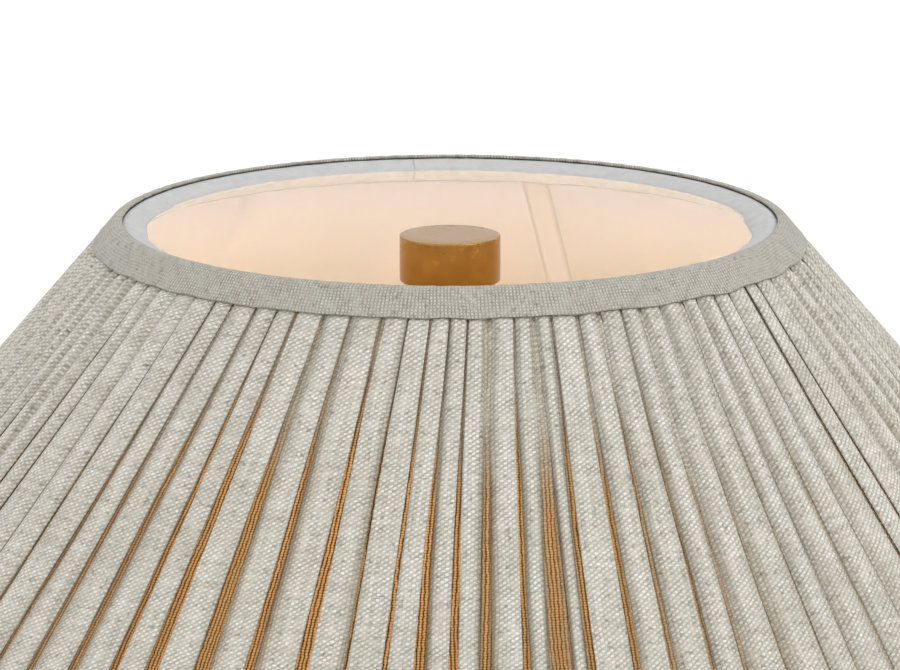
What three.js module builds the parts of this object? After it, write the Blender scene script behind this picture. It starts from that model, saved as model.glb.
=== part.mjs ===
// Flared lamp shade on two wire rings, with the finial that screws it down.
// Millimetres, +Z up, front towards -Y, standing on its bottom edge at z = 0.
import * as THREE from 'three';

// ---- driving dimensions -------------------------------------------------------
const TOP_RING_DIA = 203.2; // centre line of the top wire
const BOTTOM_RING_DIA = 508; // centre line of the bottom wire
const RING_DROP = 177.8; // height between the two wires
const WIRE_DIA = 3;
const FIT_GAP = 0.3; // left between any two pieces that touch

// Skins, measured square to the slope
const LINER_THICK = 0.6;
const COVER_PRESSED = 1.6; // pleats squeezed under a trim
const COVER_LOFT = 2.6; // pleats standing free between the trims
const TRIM_THICK = 0.8;
const TAPE_THICK = 0.5;

// Lengths, measured down the slope
const TRIM_WIDTH = 10.2; // below the ring, about half an inch with its rolled edge
const TRIM_ROLL = 1.6; // where the trim leaves its rolled edge
const HEM_CHAMFER = 1.3; // bottom trim, where it turns on to the rest face
const HEM_HUG = 70; // degrees that it wraps round the wire past the rest face
const COVER_SETBACK = 2.2; // cover stops this short of each ring
const COVER_PINCH = 1; // pleats stay pressed this far past a trim
const COVER_RISE = 5; // and open out over this much slope
const TAPE_START = 2;
const TAPE_WIDTH = 6.5;
const SEAM_TAPE_WIDTH = 9;
const SEAM_TAPE_MARGIN = 2; // bare liner between seam tape and edge tapes
const SEAM_AZIMUTH = 75; // degrees from +X, the middle of a facet

// Spider
const HUB_DIA = 28.6;
const HUB_THICK = 2;
const HUB_HOLE_DIA = 11;
const ARM_BEND = 8; // centre line radius of the bend
const ARM_INSET = 1.5; // arm starts this far outside the hub hole

// Finial
const FINIAL_DIA = 31.75;
const FINIAL_HEIGHT = 14.5;
const FINIAL_SINK = 2.2; // finial top below the centre of the top wire
const FINIAL_EDGE = 0.45; // broken edge
const INSERT_OUT_DIA = 9.4;
const INSERT_BORE_DIA = 6.6; // clears a 1/4 inch stud
const INSERT_LENGTH = 11;
const WASHER_DIA = 24;
const WASHER_BORE_DIA = 7;
const WASHER_THICK = 1.2;

// Facets
const RING_SEGMENTS = 60;
const WIRE_SIDES = 8;
const SMALL_SEGMENTS = 32;
const FINIAL_SEGMENTS = 64;

// ---- derived ------------------------------------------------------------------
const wireR = WIRE_DIA / 2;
const topR = TOP_RING_DIA / 2;
const bottomR = BOTTOM_RING_DIA / 2;
const slant = Math.hypot(bottomR - topR, RING_DROP);
const slopeSin = (bottomR - topR) / slant;
const slopeCos = RING_DROP / slant;

const bottomRingZ = wireR + FIT_GAP + TRIM_THICK;
const topRingZ = bottomRingZ + RING_DROP;

const linerIn = wireR + FIT_GAP;
const linerOut = linerIn + LINER_THICK;
const coverIn = linerOut + FIT_GAP;
const coverPressedOut = coverIn + COVER_PRESSED;
const coverLoftOut = coverIn + COVER_LOFT;
const trimIn = coverPressedOut + FIT_GAP;
const hugR = wireR + FIT_GAP; // trim where it wraps a wire
const tapeOut = linerIn - FIT_GAP;

const finialTopZ = topRingZ - FINIAL_SINK;
const finialBaseZ = finialTopZ - FINIAL_HEIGHT;
const washerTopZ = finialBaseZ - FIT_GAP;
const hubTopZ = washerTopZ - WASHER_THICK - FIT_GAP;
const hubBaseZ = hubTopZ - HUB_THICK;
const armZ = hubBaseZ - FIT_GAP - wireR;

// ---- materials ----------------------------------------------------------------
const linen = new THREE.MeshStandardMaterial({ color: 0xcbc8bd, roughness: 0.95 });
linen.name = 'pleated_linen';
const biasLinen = new THREE.MeshStandardMaterial({ color: 0xb6b2a6, roughness: 0.95 });
biasLinen.name = 'bias_linen';
const linerSheet = new THREE.MeshStandardMaterial({ color: 0xeee4d2, roughness: 0.8 });
linerSheet.name = 'liner_sheet';
const cottonTape = new THREE.MeshStandardMaterial({ color: 0xe8e8e6, roughness: 0.9 });
cottonTape.name = 'cotton_tape';
const paintedSteel = new THREE.MeshStandardMaterial({
  color: 0xd9d6cd,
  roughness: 0.5,
  metalness: 0.1,
});
paintedSteel.name = 'painted_steel';
const brass = new THREE.MeshStandardMaterial({
  color: 0xa87638,
  roughness: 0.35,
  metalness: 1,
});
brass.name = 'antique_brass';

// ---- outline helpers ----------------------------------------------------------
// A point "down" the slope from the top wire and "out" square to it, as (radius, z).
function onSlope(down, out) {
  return new THREE.Vector2(
    topR + down * slopeSin + out * slopeCos,
    topRingZ - down * slopeCos + out * slopeSin,
  );
}

// Closed outline of a band that follows a path, with its thickness on the left.
function thicken(path, thick) {
  const far = path.map((point, i) => {
    const before = path[Math.max(i - 1, 0)];
    const after = path[Math.min(i + 1, path.length - 1)];
    const a = point.clone().sub(before);
    const b = after.clone().sub(point);
    const dirA = (a.length() ? a : b).clone().normalize();
    const dirB = (b.length() ? b : a).clone().normalize();
    const leftA = new THREE.Vector2(-dirA.y, dirA.x);
    const leftB = new THREE.Vector2(-dirB.y, dirB.x);
    const mitre = leftA.clone().add(leftB).divideScalar(1 + leftA.dot(leftB));
    return point.clone().addScaledVector(mitre, thick);
  });
  return [...path, ...far.reverse()];
}

function circleOutline(centre, radius, sides) {
  return Array.from({ length: sides }, (_, i) => {
    const turn = ((i + 0.5) / sides) * Math.PI * 2;
    const reach = radius / Math.cos(Math.PI / sides);
    return new THREE.Vector2(
      centre.x + reach * Math.cos(turn),
      centre.y + reach * Math.sin(turn),
    );
  });
}

function signedArea(outline) {
  return outline.reduce((sum, point, i) => {
    const next = outline[(i + 1) % outline.length];
    return sum + (point.x * next.y - next.x * point.y) / 2;
  }, 0);
}

// ---- solid helpers ------------------------------------------------------------
// Spins an outline that closes on itself, clear of the axis.
function ringSolid(outline, segments) {
  const ordered = signedArea(outline) > 0 ? outline : [...outline].reverse();
  const geometry = new THREE.LatheGeometry([...ordered, ordered[0]], segments);
  geometry.rotateX(Math.PI / 2);
  return geometry;
}

function washerSolid(outerDia, boreDia, topZ, thick) {
  const outline = [
    new THREE.Vector2(boreDia / 2, topZ - thick),
    new THREE.Vector2(outerDia / 2, topZ - thick),
    new THREE.Vector2(outerDia / 2, topZ),
    new THREE.Vector2(boreDia / 2, topZ),
  ];
  return ringSolid(outline, SMALL_SEGMENTS);
}

// Skin over a grid of points, rows joined in order; each row closes on itself.
function loftSolid(rows) {
  const sides = rows[0].length;
  const positions = rows.flat().flatMap((point) => [point.x, point.y, point.z]);
  const index = [];
  for (let row = 0; row < rows.length - 1; row += 1) {
    for (let side = 0; side < sides; side += 1) {
      const a = row * sides + side;
      const b = row * sides + ((side + 1) % sides);
      index.push(a, b, b + sides, a, b + sides, a + sides);
    }
  }
  const last = (rows.length - 1) * sides;
  for (let side = 1; side < sides - 1; side += 1) {
    index.push(0, side + 1, side);
    index.push(last, last + side, last + side + 1);
  }
  const geometry = new THREE.BufferGeometry();
  geometry.setAttribute('position', new THREE.Float32BufferAttribute(positions, 3));
  geometry.setIndex(index);
  geometry.computeVertexNormals();
  return geometry;
}

// Round wire along points in the XZ plane, with mitred sections at the bends.
function wireSolid(points, radius, sides) {
  const rows = points.map((point, i) => {
    const before = points[Math.max(i - 1, 0)];
    const after = points[Math.min(i + 1, points.length - 1)];
    const along = after.clone().sub(before).normalize();
    const leg = after.clone().sub(point).length() ? after.clone().sub(point) : along.clone();
    const stretch = 1 / along.dot(leg.normalize());
    const inPlane = new THREE.Vector3(-along.z, 0, along.x);
    return Array.from({ length: sides }, (_, k) => {
      const turn = ((k + 0.5) / sides) * Math.PI * 2;
      return point
        .clone()
        .addScaledVector(inPlane, radius * stretch * Math.cos(turn))
        .add(new THREE.Vector3(0, -radius * Math.sin(turn), 0));
    });
  });
  return loftSolid(rows);
}

function piece(name, geometry, material) {
  const mesh = new THREE.Mesh(geometry, material);
  mesh.name = name;
  return mesh;
}

// ---- frame --------------------------------------------------------------------
function wireRing(radius, z) {
  const outline = circleOutline(new THREE.Vector2(radius, z), wireR, WIRE_SIDES);
  return ringSolid(outline, RING_SEGMENTS);
}

// One arm: out from the hub, round the bend, up to the underside of the top wire.
function armSolid(side) {
  const startX = HUB_HOLE_DIA / 2 + ARM_INSET;
  const bendSteps = 5;
  const flat = [new THREE.Vector3(startX, 0, armZ)];
  for (let i = 0; i <= bendSteps; i += 1) {
    const turn = (i / bendSteps) * (Math.PI / 2);
    flat.push(
      new THREE.Vector3(
        topR - ARM_BEND + ARM_BEND * Math.sin(turn),
        0,
        armZ + ARM_BEND - ARM_BEND * Math.cos(turn),
      ),
    );
  }
  flat.push(new THREE.Vector3(topR, 0, topRingZ - wireR - FIT_GAP));
  const geometry = wireSolid(flat, wireR, WIRE_SIDES);
  if (side < 0) {
    geometry.rotateZ(Math.PI);
  }
  return geometry;
}

// ---- skins --------------------------------------------------------------------
function linerOutline() {
  return thicken([onSlope(0, linerOut), onSlope(slant, linerOut)], -LINER_THICK);
}

function coverOutline() {
  const pressedEnd = TRIM_WIDTH + COVER_PINCH;
  const loftStart = pressedEnd + COVER_RISE;
  return [
    onSlope(COVER_SETBACK, coverIn),
    onSlope(slant - COVER_SETBACK, coverIn),
    onSlope(slant - COVER_SETBACK, coverPressedOut),
    onSlope(slant - pressedEnd, coverPressedOut),
    onSlope(slant - loftStart, coverLoftOut),
    onSlope(loftStart, coverLoftOut),
    onSlope(pressedEnd, coverPressedOut),
    onSlope(COVER_SETBACK, coverPressedOut),
  ];
}

// Up the outside, over the rolled edge and round the inner side of the top wire.
function topTrimOutline() {
  const rollSteps = 4;
  const hugSteps = 3;
  const quarter = Math.PI / 2;
  const path = [onSlope(TRIM_WIDTH, trimIn)];
  for (let i = 0; i <= rollSteps; i += 1) {
    const turn = (i / rollSteps) * quarter;
    path.push(
      onSlope(TRIM_ROLL - (TRIM_ROLL + hugR) * Math.sin(turn), trimIn * Math.cos(turn)),
    );
  }
  for (let i = 1; i <= hugSteps; i += 1) {
    const turn = (i / hugSteps) * quarter;
    const reach = i < hugSteps ? hugR / Math.cos(quarter / hugSteps / 2) : hugR;
    path.push(onSlope(-reach * Math.cos(turn), -reach * Math.sin(turn)));
  }
  return thicken(path, -TRIM_THICK);
}

// Down the outside, flat along the rest face and round the inner side of the wire.
function bottomTrimOutline() {
  const shoulder = onSlope(slant - TRIM_ROLL, trimIn);
  const path = [
    onSlope(slant - TRIM_WIDTH, trimIn),
    shoulder,
    new THREE.Vector2(shoulder.x, TRIM_THICK + HEM_CHAMFER),
    new THREE.Vector2(shoulder.x - HEM_CHAMFER, TRIM_THICK),
    new THREE.Vector2(bottomR, TRIM_THICK),
  ];
  const steps = 3;
  const hugTurn = THREE.MathUtils.degToRad(HEM_HUG);
  for (let i = 1; i <= steps; i += 1) {
    const turn = (i / steps) * hugTurn;
    const reach = i < steps ? hugR / Math.cos(hugTurn / steps / 2) : hugR;
    path.push(
      new THREE.Vector2(
        bottomR - reach * Math.sin(turn),
        bottomRingZ - reach * Math.cos(turn),
      ),
    );
  }
  return thicken(path, TRIM_THICK);
}

function edgeTapeOutline(start) {
  return thicken([onSlope(start, tapeOut), onSlope(start + TAPE_WIDTH, tapeOut)], -TAPE_THICK);
}

// Flat strip lying on one facet of the liner, from edge tape to edge tape.
function seamTapeSolid() {
  const half = SEAM_TAPE_WIDTH / 2;
  const margin = TAPE_START + TAPE_WIDTH + SEAM_TAPE_MARGIN;
  const flatten = Math.cos(Math.PI / RING_SEGMENTS);
  const rows = [margin, slant - margin].map((down) => {
    const near = onSlope(down, tapeOut - TAPE_THICK);
    const far = onSlope(down, tapeOut);
    return [
      new THREE.Vector3(near.x * flatten, -half, near.y),
      new THREE.Vector3(near.x * flatten, half, near.y),
      new THREE.Vector3(far.x * flatten, half, far.y),
      new THREE.Vector3(far.x * flatten, -half, far.y),
    ];
  });
  const geometry = loftSolid(rows);
  geometry.rotateZ(THREE.MathUtils.degToRad(SEAM_AZIMUTH));
  return geometry;
}

// ---- finial -------------------------------------------------------------------
function finialCapSolid() {
  const r = FINIAL_DIA / 2;
  const boreR = INSERT_OUT_DIA / 2 + FIT_GAP;
  const boreTop = finialBaseZ + INSERT_LENGTH + FIT_GAP;
  const outline = [
    new THREE.Vector2(0, boreTop),
    new THREE.Vector2(boreR, boreTop),
    new THREE.Vector2(boreR, finialBaseZ),
    new THREE.Vector2(r - FINIAL_EDGE, finialBaseZ),
    new THREE.Vector2(r, finialBaseZ + FINIAL_EDGE),
    new THREE.Vector2(r, finialTopZ - FINIAL_EDGE),
    new THREE.Vector2(r - FINIAL_EDGE, finialTopZ),
    new THREE.Vector2(0, finialTopZ),
  ];
  const geometry = new THREE.LatheGeometry(outline, FINIAL_SEGMENTS);
  geometry.rotateX(Math.PI / 2);
  return geometry;
}

// ---- assembly -----------------------------------------------------------------
const shade = new THREE.Group();
shade.name = 'lamp_shade';
shade.add(
  piece('top_ring', wireRing(topR, topRingZ), paintedSteel),
  piece('bottom_ring', wireRing(bottomR, bottomRingZ), paintedSteel),
  piece('spider_hub', washerSolid(HUB_DIA, HUB_HOLE_DIA, hubTopZ, HUB_THICK), paintedSteel),
  piece('spider_arm_right', armSolid(1), paintedSteel),
  piece('spider_arm_left', armSolid(-1), paintedSteel),
  piece('liner', ringSolid(linerOutline(), RING_SEGMENTS), linerSheet),
  piece('liner_seam_tape', seamTapeSolid(), cottonTape),
  piece('pleated_cover', ringSolid(coverOutline(), RING_SEGMENTS), linen),
  piece('top_trim', ringSolid(topTrimOutline(), RING_SEGMENTS), biasLinen),
  piece('bottom_trim', ringSolid(bottomTrimOutline(), RING_SEGMENTS), biasLinen),
  piece('inner_top_tape', ringSolid(edgeTapeOutline(TAPE_START), RING_SEGMENTS), cottonTape),
  piece(
    'inner_bottom_tape',
    ringSolid(edgeTapeOutline(slant - TAPE_START - TAPE_WIDTH), RING_SEGMENTS),
    cottonTape,
  ),
  piece('finial_cap', finialCapSolid(), brass),
  piece(
    'finial_insert',
    washerSolid(INSERT_OUT_DIA, INSERT_BORE_DIA, finialBaseZ + INSERT_LENGTH, INSERT_LENGTH),
    brass,
  ),
  piece('finial_washer', washerSolid(WASHER_DIA, WASHER_BORE_DIA, washerTopZ, WASHER_THICK), brass),
);

export default shade;
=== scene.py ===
# %% [markdown]
# A flared lamp shade of pleated linen
#
# The real shade is a cone of stiff, see-through liner on two wire rings. A strip of linen,
# folded into box pleats, is laid round it, and bias-cut bands of the same linen cover its
# two edges. A brass finial in the top opening screws the shade down on its lamp.
# The measured model comes in first and stays as it is. Every later cell adds one piece or
# one finish, and prints what it made.

import math

import bmesh
import bpy
import numpy as np
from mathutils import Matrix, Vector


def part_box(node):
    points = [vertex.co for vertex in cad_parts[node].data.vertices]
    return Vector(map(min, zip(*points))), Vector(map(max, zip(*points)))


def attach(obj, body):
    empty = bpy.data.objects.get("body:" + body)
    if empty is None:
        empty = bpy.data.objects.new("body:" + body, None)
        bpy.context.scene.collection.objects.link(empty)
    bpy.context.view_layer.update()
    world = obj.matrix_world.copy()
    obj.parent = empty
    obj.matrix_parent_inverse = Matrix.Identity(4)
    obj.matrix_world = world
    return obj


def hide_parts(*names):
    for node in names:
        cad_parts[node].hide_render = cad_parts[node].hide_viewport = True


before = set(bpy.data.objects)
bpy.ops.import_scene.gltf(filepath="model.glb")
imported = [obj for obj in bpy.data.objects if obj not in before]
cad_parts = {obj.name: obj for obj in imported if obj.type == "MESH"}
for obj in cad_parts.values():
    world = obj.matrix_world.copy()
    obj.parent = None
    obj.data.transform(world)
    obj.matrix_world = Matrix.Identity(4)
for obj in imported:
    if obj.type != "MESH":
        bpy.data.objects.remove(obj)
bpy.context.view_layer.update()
print("nodes:", ", ".join(sorted(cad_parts)))

# %% [markdown]
# Sizes from the model
#
# A cone is easiest to build in two numbers: how far down the slope a point lies from the top
# wire, and how far out it stands square to the slope. The wires give the cone itself.

# %% Read the cone from its two wires
MM = 0.001
FULL_TURN = 2 * math.pi
top_low, top_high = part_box("top_ring")
bottom_low, bottom_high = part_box("bottom_ring")
WIRE = (top_high[2] - top_low[2]) / 2
TOP_RADIUS = (top_high[0] - top_low[0]) / 2 - WIRE
BOTTOM_RADIUS = (bottom_high[0] - bottom_low[0]) / 2 - WIRE
TOP_Z = (top_high[2] + top_low[2]) / 2
BOTTOM_Z = (bottom_high[2] + bottom_low[2]) / 2
SLANT = math.hypot(BOTTOM_RADIUS - TOP_RADIUS, TOP_Z - BOTTOM_Z)
SLOPE_SIN = (BOTTOM_RADIUS - TOP_RADIUS) / SLANT
SLOPE_COS = (TOP_Z - BOTTOM_Z) / SLANT
CREST_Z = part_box("top_trim")[1][2]


def on_slope(down, out):
    """Radius and height of a point down the slope from the top wire and out from it."""
    radius = TOP_RADIUS + down * SLOPE_SIN + out * SLOPE_COS
    return radius, TOP_Z - down * SLOPE_COS + out * SLOPE_SIN


def place(turn, down, out):
    """The same point, turned about the shade's axis, as an array of x, y, z."""
    radius, height = on_slope(down, out)
    radius, height, turn = np.broadcast_arrays(radius, height, turn)
    return np.stack([radius * np.cos(turn), radius * np.sin(turn), height], axis=-1)


print(f"slope {SLANT / MM:.1f} mm long, {math.degrees(math.asin(SLOPE_SIN)):.1f} degrees out")

# %% [markdown]
# Camera
#
# A long lens from a little above the rim keeps the ellipse of the opening nearly the same
# front and back. The camera looks along +Y and aims below the rim, so that the rim stands
# high in the picture and the pleats fill the rest of it.

# %% Place the camera
CAMERA_ELEVATION = math.radians(11.44)
CAMERA_DISTANCE = 1.8
AIM_BELOW_RIM = 0.0381
LENS_MM = 229

camera_data = bpy.data.cameras.new("camera")
camera_data.lens = LENS_MM
camera_data.clip_start = 0.05
camera_data.clip_end = 60
camera = bpy.data.objects.new("camera", camera_data)
bpy.context.collection.objects.link(camera)
camera.location = (
    0,
    -CAMERA_DISTANCE * math.cos(CAMERA_ELEVATION),
    CREST_Z + CAMERA_DISTANCE * math.sin(CAMERA_ELEVATION),
)
drop = camera.location[2] - (CREST_Z - AIM_BELOW_RIM)
camera.rotation_euler = (math.atan2(-camera.location[1], drop), 0, 0)
bpy.context.scene.camera = camera
print(f"camera {CAMERA_DISTANCE} m away, {LENS_MM} mm lens")

# %% [markdown]
# Floor and light
#
# A plain white floor runs out behind the shade. The daylight is a white sky with two large
# soft lamps. The warm light inside is a small bulb on the axis, low enough to light the liner
# most brightly some way below the rim. The view is set to Standard so that white stays white.

# %% Floor, sky and lamps
bpy.context.scene.view_settings.view_transform = "Standard"


def srgb(code):
    """An sRGB hex colour, as the linear red, green, blue and alpha that Blender mixes."""
    levels = [int(code[i : i + 2], 16) / 255 for i in (1, 3, 5)]
    linear = [c / 12.92 if c <= 0.04045 else ((c + 0.055) / 1.055) ** 2.4 for c in levels]
    return (*linear, 1.0)


def node(tree, kind, inputs=None, **settings):
    """Adds one node. An input takes a value, a socket, or a node that feeds its first output."""
    made = tree.nodes.new("ShaderNode" + kind)
    for name, value in settings.items():
        setattr(made, name, value)
    for name, value in (inputs or {}).items():
        if isinstance(value, bpy.types.Node):
            value = value.outputs[0]
        if isinstance(value, bpy.types.NodeSocket):
            tree.links.new(value, made.inputs[name])
        else:
            made.inputs[name].default_value = value
    return made


def material(name):
    """An empty material, with its node tree and the output that a shader is linked to."""
    made = bpy.data.materials.new(name)
    made.use_nodes = True
    made.node_tree.nodes.clear()
    return made, made.node_tree


def finish_with(tree, shader):
    """Links a finished shader to the material's surface."""
    node(tree, "OutputMaterial", {"Surface": shader})


def mesh_object(name, points, faces, paint):
    """A smooth-shaded mesh piece with one material."""
    mesh = bpy.data.meshes.new(name)
    mesh.from_pydata([tuple(p) for p in points], [], faces)
    mesh.polygons.foreach_set("use_smooth", [True] * len(mesh.polygons))
    mesh.materials.append(paint)
    mesh.update()
    made = bpy.data.objects.new(name, mesh)
    bpy.context.collection.objects.link(made)
    return made


FLOOR_HALF = 12.0
paper, paper_tree = material("white_paper_floor")
paper_grain = node(paper_tree, "TexNoise", {"Scale": 900.0, "Detail": 3.0})
paper_bump = node(paper_tree, "Bump", {"Height": paper_grain, "Distance": 0.0001})
paper_face = node(
    paper_tree,
    "BsdfPrincipled",
    {"Base Color": srgb("#fbfbfa"), "Roughness": 0.9, "Normal": paper_bump},
)
# From below the paper is left clear, so that the underside of the shade can be looked at.
below = node(paper_tree, "NewGeometry").outputs["Backfacing"]
clear = node(paper_tree, "BsdfTransparent")
finish_with(paper_tree, node(paper_tree, "MixShader", {"Fac": below, 1: paper_face, 2: clear}))
floor = mesh_object(
    "floor",
    [
        (-FLOOR_HALF, -FLOOR_HALF, 0),
        (FLOOR_HALF, -FLOOR_HALF, 0),
        (FLOOR_HALF, FLOOR_HALF, 0),
        (-FLOOR_HALF, FLOOR_HALF, 0),
    ],
    [(0, 1, 2, 3)],
    paper,
)

SKY_STRENGTH = 1.0
sky = bpy.data.worlds.new("white_sky")
sky.use_nodes = True
sky.node_tree.nodes["Background"].inputs["Color"].default_value = (1, 1, 1, 1)
sky.node_tree.nodes["Background"].inputs["Strength"].default_value = SKY_STRENGTH
bpy.context.scene.world = sky


def soft_lamp(name, position, aim, width, power):
    """A square lamp that faces a point, unseen by the camera."""
    data = bpy.data.lights.new(name, "AREA")
    data.size = width
    data.energy = power
    lamp = bpy.data.objects.new(name, data)
    bpy.context.collection.objects.link(lamp)
    lamp.location = position
    away = np.array(aim, float) - np.array(position, float)
    flat = math.hypot(away[0], away[1])
    lamp.rotation_euler = (
        math.atan2(flat, -away[2]),
        0,
        math.atan2(away[1], away[0]) - math.pi / 2,
    )
    lamp.visible_camera = False
    return lamp


soft_lamp("window_left", (-2.2, -2.0, 2.2), (0, 0, 0.1), 1.6, 12)
soft_lamp("window_right", (2.4, -1.4, 2.6), (0, 0, 0.1), 1.8, 34)

BULB_HEIGHT = 0.028
BULB_RADIUS = 0.03
BULB_POWER = 0.89
bulb_data = bpy.data.lights.new("warm_bulb", "POINT")
bulb_data.energy = BULB_POWER
bulb_data.color = (1.0, 0.98, 0.91)
bulb_data.shadow_soft_size = BULB_RADIUS
bulb = bpy.data.objects.new("warm_bulb", bulb_data)
bpy.context.collection.objects.link(bulb)
bulb.location = (0, 0, BULB_HEIGHT)
bulb.visible_camera = False
print("floor, sky, two soft lamps and a bulb")

# %% [markdown]
# Linen
#
# Linen is flax spun into uneven thread and woven plain: over one, under one. Close to, the
# eye sees rows of small bumps with dark pinholes between them, a slant from the twist of the
# thread, thick slubs that run along single threads, and grey-brown flecks of stalk. One
# layer with a light behind it glows gold, and the threads show as bright dotted lines.
# The cloth carries its own ruler: a UV map in millimetres along and across the threads. Every
# pattern is worked out from that, so the weave follows each fold.

# %% Weave pattern
# Spacing of heavy flax thread. The upright threads are drawn about a fifth coarser than most
# linen has, so that they show.
WARP_MM = 1.15
WEFT_MM = 0.85
FINE_MM = 0.72
SLUB_MM = 16.0


def weave(tree, warp_mm, weft_mm, bias):
    """Plain weave read from the cloth's ruler.

    over runs from -1, where a crossing thread is on top, to 1. bumps is 0 in the pinholes,
    lines is 0 between two threads that run down the slope, and twist is the slant that
    spinning gives every thread, from -1 to 1.
    """
    ruler = node(tree, "UVMap", uv_map="cloth")
    turned = node(
        tree, "VectorRotate", {"Vector": ruler, "Angle": bias}, rotation_type="Z_AXIS"
    )
    drift = node(tree, "TexNoise", {"Vector": turned, "Scale": 0.03, "Detail": 1.0})
    jitter = node(tree, "TexNoise", {"Vector": turned, "Scale": 0.5, "Detail": 2.0})
    wander = node(
        tree,
        "VectorMath",
        {0: drift.outputs["Color"], 1: (2.2, 2.2, 0.0), 2: turned},
        operation="MULTIPLY_ADD",
    )
    threads = node(
        tree,
        "VectorMath",
        {0: jitter.outputs["Color"], 1: (0.9, 0.9, 0.0), 2: wander},
        operation="MULTIPLY_ADD",
    )
    counted = node(
        tree,
        "VectorMath",
        {0: threads, 1: (1 / warp_mm, 1 / weft_mm, 0.0)},
        operation="MULTIPLY",
    )
    phase = node(
        tree, "VectorMath", {0: counted, 1: (math.pi, math.pi, 0.0)}, operation="MULTIPLY"
    )
    wave = node(tree, "VectorMath", {0: phase}, operation="SINE")
    waves = node(tree, "SeparateXYZ", {0: wave})
    over = node(
        tree, "Math", {0: waves.outputs["X"], 1: waves.outputs["Y"]}, operation="MULTIPLY"
    )
    swell = node(tree, "Math", {0: over}, operation="ABSOLUTE")
    bumps = node(tree, "Math", {0: swell, 1: 0.6}, operation="POWER")
    whole = node(tree, "VectorMath", {0: counted}, operation="FLOOR")
    number = node(tree, "SeparateXYZ", {0: whole})
    place_in = node(tree, "SeparateXYZ", {0: threads})
    slubs = []
    for steady, running, seed in (("X", "Y", 3.7), ("Y", "X", 41.3)):
        slow = node(
            tree, "Math", {0: place_in.outputs[running], 1: 1 / SLUB_MM}, operation="MULTIPLY"
        )
        spot = node(
            tree, "CombineXYZ", {"X": number.outputs[steady], "Y": slow, "Z": seed}
        )
        slubs.append(
            node(tree, "TexNoise", {"Vector": spot, "Scale": 0.73, "Detail": 1.0})
        )
    flecks = node(
        tree, "TexNoise", {"Vector": threads, "Scale": 0.47, "Detail": 2.0, "Roughness": 0.6}
    )
    lines = node(tree, "Math", {0: waves.outputs["X"]}, operation="ABSOLUTE")
    phases = node(tree, "SeparateXYZ", {0: phase})
    slant = node(
        tree, "Math", {0: phases.outputs["X"], 1: phases.outputs["Y"]}, operation="ADD"
    )
    twist = node(tree, "Math", {0: slant}, operation="COSINE")
    return over, bumps, lines, twist, slubs, flecks


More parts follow.
